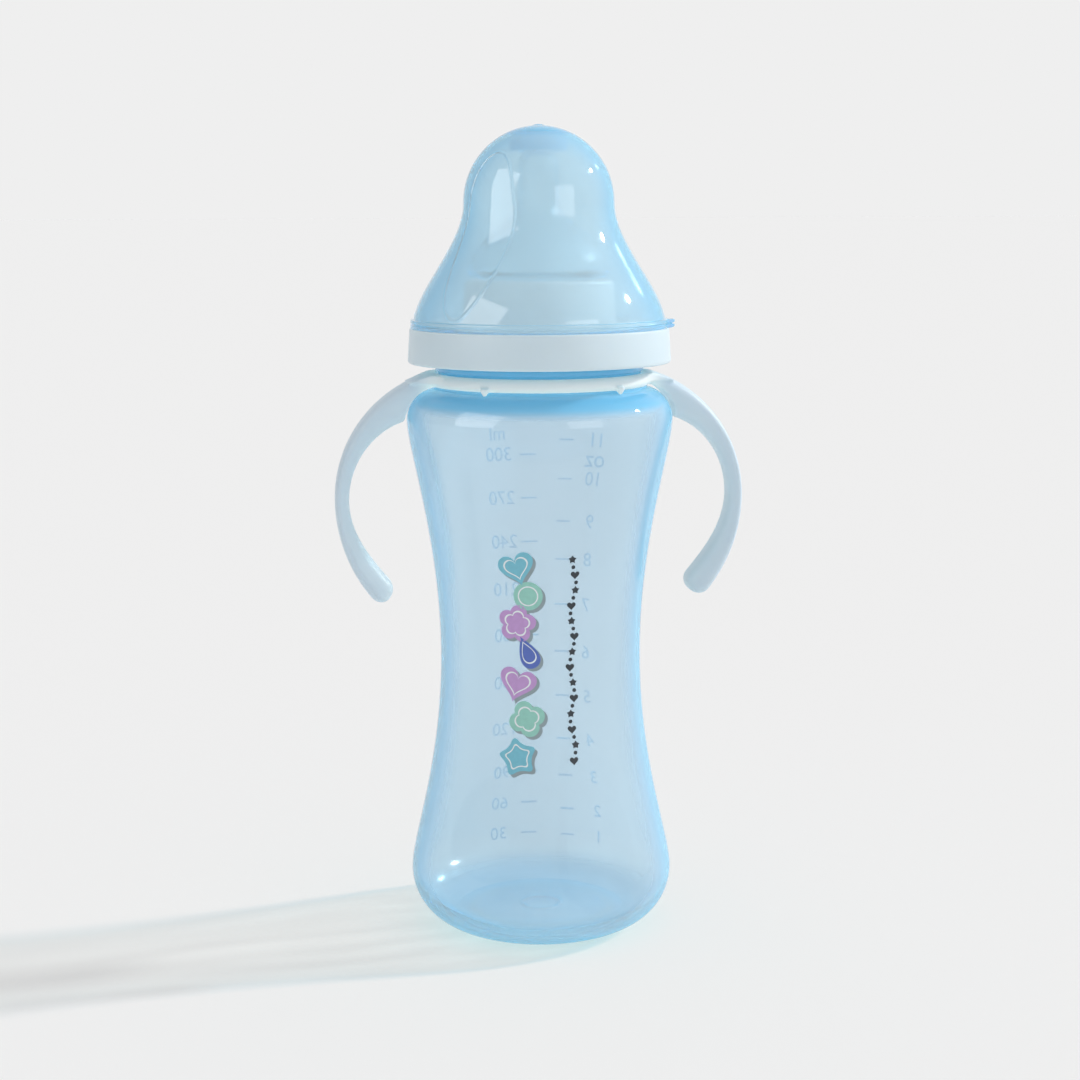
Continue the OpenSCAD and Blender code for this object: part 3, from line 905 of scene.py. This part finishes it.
def from_axis(tree):
    """A socket with each point's distance from the upright axis."""
    place = tree.nodes.new("ShaderNodeTexCoord")
    flat = tree.nodes.new("ShaderNodeMapping")
    flat.inputs["Scale"].default_value = (1, 1, 0)
    tree.links.new(place.outputs["Object"], flat.inputs["Vector"])
    away = tree.nodes.new("ShaderNodeVectorMath")
    away.operation = "LENGTH"
    tree.links.new(flat.outputs["Vector"], away.inputs[0])
    return away.outputs["Value"]


def by_height(tree, start, full, low, high):
    """A socket that goes smoothly from low to high between two heights, in millimetres."""
    place = tree.nodes.new("ShaderNodeTexCoord")
    way = tree.nodes.new("ShaderNodeSeparateXYZ")
    tree.links.new(place.outputs["Object"], way.inputs["Vector"])
    return remap(tree, way.outputs["Z"], low, high, start * MM, full * MM, smooth=True)


def by_radius(tree, start, full, low, high):
    """A socket that goes smoothly from low to high between two radii, in millimetres."""
    return remap(tree, from_axis(tree), low, high, start * MM, full * MM, smooth=True)


def deeper_towards(tree, depth, start, full, share, within=None):
    """The larger of a share and one that grows from 0 at one height to its full value,
    which may be held within a radius round the axis."""
    added = by_height(tree, start, full, 0.0, share)
    if within:
        added = math_node(tree, "MULTIPLY", added, by_radius(tree, within, within + 1, 1.0, 0.0))
    return math_node(tree, "MAXIMUM", depth, added)


def let_light_in(tree, surface, shade):
    """Lets lamps shine through a surface, a little dimmed and in painted streaks of light that stand
    in for caustics in its cast shadow, and soft light too.
    """
    # painted light: streaks of lamp light in the cast shadow, in place of caustics
    streak = noise_node(tree, 150.0, 1.5, stretch=(1, 1, 0.12))
    uneven = ramp(tree, streak, scaled(shade, 0.86), scaled(shade, 1.1), (0.3, 0.7))
    path = tree.nodes.new("ShaderNodeLightPath")
    for kind, colour in (("Is Diffuse Ray", BOUNCE), ("Is Shadow Ray", uneven)):
        through = tree.nodes.new("ShaderNodeBsdfTransparent")
        feed(tree, through.inputs["Color"], colour)
        surface = mix_shaders(tree, path.outputs[kind], surface, through.outputs["BSDF"])
    return surface


def clear_plastic(name, tint, deep, absorb, density, roughness, ior, wave, haze, deep_haze,
                  gloss=0.0, shade=(0.97, 0.92, 0.895), thick=(), slant_start=0.34, coarse=None):
    """Tinted clear plastic, a little milky, whose colour deepens with its thickness, where
    it is seen aslant, and towards each height in thick (start, full, share and perhaps a
    radius round the axis that holds it; millimetres). It may grow coarse towards a height
    (start, full, times). Lamps shine through it, dimmed to about the shade and in painted
    streaks of light that stand in for caustics in its cast shadow."""
    mat, tree, shader = new_material(name)
    shader.inputs["IOR"].default_value = ior
    shader.inputs["Coat Weight"].default_value = gloss
    shader.inputs["Coat Roughness"].default_value = 0.02
    noise = noise_node(tree, 60.0, 2.0, stretch=(1, 1, 0.35))
    slant = tree.nodes.new("ShaderNodeLayerWeight")
    slant.inputs["Blend"].default_value = 0.5
    depth = remap(tree, slant.outputs["Facing"], 0.0, 1.0, slant_start, SLANT_END, smooth=True)
    for place in thick:
        depth = deeper_towards(tree, depth, *place)
    lighter = tuple(min(1, c) for c in scaled(tint, 1.02))
    colour = mix_colours(tree, depth, ramp(tree, noise, tint, lighter), deep)
    tree.links.new(colour, shader.inputs["Base Color"])
    clear = remap(tree, depth, 1.0 - haze, 1.0 - deep_haze)
    tree.links.new(clear, shader.inputs["Transmission Weight"])
    rough = remap(tree, noise, roughness * 0.8, roughness * 1.2)
    if coarse:
        start, full, times = coarse
        rough = math_node(tree, "MULTIPLY", rough, by_height(tree, start, full, 1.0, times))
    tree.links.new(rough, shader.inputs["Roughness"])
    add_bump(tree, shader, noise, wave, 0.0004)
    volume = tree.nodes.new("ShaderNodeVolumeAbsorption")
    volume.inputs["Color"].default_value = absorb
    volume.inputs["Density"].default_value = density
    out = tree.nodes["Material Output"]
    tree.links.new(volume.outputs["Volume"], out.inputs["Volume"])
    tree.links.new(let_light_in(tree, shader.outputs["BSDF"], shade), out.inputs["Surface"])
    return mat


def moulded(name, low, high, roughness, glow, painted_light_colour=None):
    """Opaque moulded plastic with a faint cloudiness and a fine grain, perhaps with painted light
    inside the handle ring's radius: a paler colour that lifts the shade the collar casts on the
    ring."""
    mat, tree, shader = new_material(name)
    noise = noise_node(tree, 45.0, 4.0)
    colour = ramp(tree, noise, low, high)
    # painted light: the ring is paler than the arms, lifting the collar's shade on it
    if painted_light_colour:
        colour = mix_colours(tree, by_radius(tree, RING_R, RING_R + 5, 0.0, 1.0), painted_light_colour, colour)
    tree.links.new(colour, shader.inputs["Base Color"])
    rough = remap(tree, noise, roughness * 0.85, roughness * 1.15)
    tree.links.new(rough, shader.inputs["Roughness"])
    add_bump(tree, shader, noise_node(tree, 2600.0, 2.0), 0.12, 0.00004)
    shader.inputs["Subsurface Weight"].default_value = glow
    shader.inputs["Subsurface Radius"].default_value = (0.9, 1.0, 1.1)
    shader.inputs["Subsurface Scale"].default_value = 0.0015
    shader.inputs["Specular IOR Level"].default_value = 0.35
    return mat


def ink_material(name, colour):
    mat, tree, shader = new_material("ink_" + name)
    noise = noise_node(tree, 900.0, 3.0)
    tint = ramp(tree, noise, scaled(colour, 0.93), scaled(colour, 1.0))
    tree.links.new(tint, shader.inputs["Base Color"])
    shader.inputs["Roughness"].default_value = 0.35
    add_bump(tree, shader, noise, 0.08, 0.00003)
    return mat


def dress(piece, material):
    piece.data.materials.clear()
    piece.data.materials.append(material)


# ---------------------------------------------------------------------------
# Build
# ---------------------------------------------------------------------------

BOTTLE_DEEP, BOTTLE_ABSORB = (0.20, 0.62, 0.92, 1), (0.0, 0.76, 0.97, 1)
bottle_clear = clear_plastic(
    "bottle_plastic", (0.855, 0.90, 0.957, 1), BOTTLE_DEEP, BOTTLE_ABSORB, density=105,
    roughness=0.025, ior=1.46, wave=0.02, haze=0.15, deep_haze=0.8,
    thick=[(137.0, 140.5, 0.95), (9.0, 2.0, 0.45)], coarse=(13.5, 8.5, 6.0))
scale_clear = clear_plastic(
    "scale_plastic", (0.55, 0.80, 0.98, 1), BOTTLE_DEEP, BOTTLE_ABSORB, density=300,
    roughness=0.05, ior=1.30, wave=0.02, haze=0.25, deep_haze=0.5)
hood_clear = clear_plastic(
    "hood_plastic", (0.76, 0.90, 0.97, 1), (0.15, 0.60, 0.90, 1), (0.0, 0.70, 0.97, 1),
    density=115, roughness=0.045, ior=1.49, wave=0.03, haze=0.29, deep_haze=0.68, gloss=0.3,
    thick=[(CROWN_Z - 0.6, CROWN_Z + 0.2, 0.95, CROWN_R + 0.5)], slant_start=0.22)
teat_clear = clear_plastic(
    "teat_silicone", (0.92, 0.97, 0.99, 1), (0.80, 0.92, 0.98, 1), (0.45, 0.80, 0.96, 1),
    density=80, roughness=0.30, ior=1.17, wave=0.05, haze=0.09, deep_haze=0.18,
    shade=(0.96, 0.97, 0.98))
collar_white = moulded("collar_plastic", (0.67, 0.80, 0.87, 1), (0.70, 0.83, 0.90, 1),
                       roughness=0.38, glow=0.25)
# the ring's paler colour is painted light against the collar's shade
handle_white = moulded("handle_plastic", (0.61, 0.75, 0.86, 1), (0.65, 0.78, 0.88, 1),
                       roughness=0.42, glow=0.2, painted_light_colour=(0.87, 0.95, 0.98, 1))

bottle = make_bottle()
dress(bottle, bottle_clear)
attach(bottle, "bottle")
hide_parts("bottle_body")

scale = make_scale()
dress(scale, scale_clear)
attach(scale, "bottle")

INKS = {"shadow": (0.30, 0.38, 0.42), "turquoise": (0.20, 0.56, 0.70), "mint": (0.32, 0.66, 0.58),
        "lilac": (0.56, 0.34, 0.68), "blue": (0.10, 0.17, 0.55), "white": (0.85, 0.92, 0.95),
        "dark": (0.03, 0.04, 0.05)}
for name, piece in make_print().items():
    dress(piece, ink_material(name, INKS[name]))
    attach(piece, "bottle")

handles = make_handles()
dress(handles, handle_white)
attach(handles, "handles")
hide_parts("handle_ring")

collar = make_collar()
dress(collar, collar_white)
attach(collar, "collar")
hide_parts("screw_collar")

teat = make_teat()
dress(teat, teat_clear)
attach(teat, "teat_carrier")
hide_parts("teat")

hood = make_hood()
dress(hood, hood_clear)
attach(hood, "hood")
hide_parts("hood")

# ---------------------------------------------------------------------------
# Stage
# ---------------------------------------------------------------------------

BACK = 0.863  # the photograph's pale grey ground, as linear light
FLOOR_GREY = (0.880, 0.879, 0.879, 1)
ROOM_LIGHT, ROOM_RIGHT, ROOM_TOP = 0.52, 0.22, 0.33
DARK_SIDE = 0.62  # the share of the ground's light that mirrors and clear plastic see on the left

# Directions are turned from +X and raised from the ground, in degrees; lengths are in metres
SUN = dict(turn=8.9, rise=30, blur=4, power=1.5)
WINDOWS = {"window_left": dict(turn=-156, rise=24.5, wide=38, tall=41, power=11.0),
           "window_front": dict(turn=-58, rise=15, wide=30, tall=22, power=3.0)}
WINDOW_AWAY, MIDDLE_H = 1.5, 0.12

# The view, solved from the photograph: degrees from the front, down and over, and metres
CAMERA = dict(turn=-8, down=9.21, roll=0.2, distance=0.526, height=0.1883, lens=67.53)


def make_floor():
    size = 60.0
    floor = mesh_object("floor", [(-size, -size, 0), (size, -size, 0), (size, size, 0),
                                  (-size, size, 0)], [[0, 1, 2, 3]])
    mat, tree, shader = new_material("floor_grey")
    shader.inputs["Roughness"].default_value = 1.0
    shader.inputs["Specular IOR Level"].default_value = 0.0
    shader.inputs["Base Color"].default_value = FLOOR_GREY
    dress(floor, mat)


def backdrop(tree, strength):
    node = tree.nodes.new("ShaderNodeBackground")
    node.inputs["Color"].default_value = (1, 1, 1, 1)
    feed(tree, node.inputs["Strength"], strength)
    return node.outputs["Background"]


def make_world():
    """A pale room for all but the camera: brightest overhead, and darker on the left."""
    world = bpy.data.worlds.new("studio")
    bpy.context.scene.world = world
    world.use_nodes = True
    tree = world.node_tree
    tree.nodes.remove(tree.nodes["Background"])
    place = tree.nodes.new("ShaderNodeTexCoord")
    way = tree.nodes.new("ShaderNodeSeparateXYZ")
    tree.links.new(place.outputs["Generated"], way.inputs["Vector"])
    across, up = way.outputs["X"], math_node(tree, "MAXIMUM", way.outputs["Z"], 0.0)
    room = math_node(tree, "MULTIPLY_ADD", across, ROOM_RIGHT, ROOM_LIGHT)
    room = math_node(tree, "MULTIPLY_ADD", up, ROOM_TOP, room)
    sides = remap(tree, across, DARK_SIDE * BACK, BACK, -1.0, -0.2)
    path = tree.nodes.new("ShaderNodeLightPath").outputs
    shiny = math_node(tree, "MAXIMUM", path["Is Glossy Ray"], path["Is Transmission Ray"])
    surface = mix_shaders(tree, shiny, backdrop(tree, room), backdrop(tree, sides))
    surface = mix_shaders(tree, path["Is Camera Ray"], surface, backdrop(tree, BACK))
    tree.links.new(surface, tree.nodes["World Output"].inputs["Surface"])


def heading(turn, rise):
    turn, rise = math.radians(turn), math.radians(rise)
    return Vector((math.cos(turn) * math.cos(rise), math.sin(turn) * math.cos(rise),
                   math.sin(rise)))


def add_lamp(light, towards):
    """Puts a light in the scene so that it shines from a direction."""
    lamp = bpy.data.objects.new(light.name, light)
    bpy.context.collection.objects.link(lamp)
    lamp.rotation_euler = towards.to_track_quat("Z", "Y").to_euler()
    return lamp


def make_sun(turn, rise, blur, power):
    sun = bpy.data.lights.new("sun", "SUN")
    sun.energy, sun.angle = power, math.radians(blur)
    add_lamp(sun, heading(turn, rise))


def make_window(name, turn, rise, wide, tall, power):
    """A window that only glossy surfaces see, as many degrees wide and tall from the bottle."""
    pane = bpy.data.lights.new(name, "AREA")
    pane.shape, pane.energy = "RECTANGLE", power
    pane.size = 2 * WINDOW_AWAY * math.tan(math.radians(wide / 2))
    pane.size_y = 2 * WINDOW_AWAY * math.tan(math.radians(tall / 2))
    towards = heading(turn, rise)
    lamp = add_lamp(pane, towards)
    lamp.location = towards * WINDOW_AWAY + Vector((0, 0, MIDDLE_H))
    lamp.visible_diffuse = lamp.visible_transmission = lamp.visible_camera = False


def make_camera(turn, down, roll, distance, height, lens):
    view = bpy.data.cameras.new("camera")
    view.sensor_width, view.lens = 36.0, lens
    camera = bpy.data.objects.new("camera", view)
    bpy.context.collection.objects.link(camera)
    bpy.context.scene.camera = camera
    turn, down = math.radians(turn), math.radians(down)
    camera.location = (distance * math.sin(turn), -distance * math.cos(turn), height)
    ahead = Vector((-math.sin(turn) * math.cos(down), math.cos(turn) * math.cos(down),
                    -math.sin(down)))
    level = ahead.to_track_quat("-Z", "Y").to_matrix().to_4x4()
    rolled = Matrix.Rotation(math.radians(roll), 4, ahead) @ level
    camera.rotation_euler = rolled.to_euler()


make_floor()
make_world()
make_sun(**SUN)
for name, window in WINDOWS.items():
    make_window(name, **window)
make_camera(**CAMERA)
bpy.context.scene.view_settings.view_transform = "Standard"
paths = bpy.context.scene.cycles
paths.caustics_refractive = paths.caustics_reflective = False
paths.max_bounces, paths.glossy_bounces, paths.transmission_bounces = 32, 16, 24
paths.transparent_max_bounces = 48
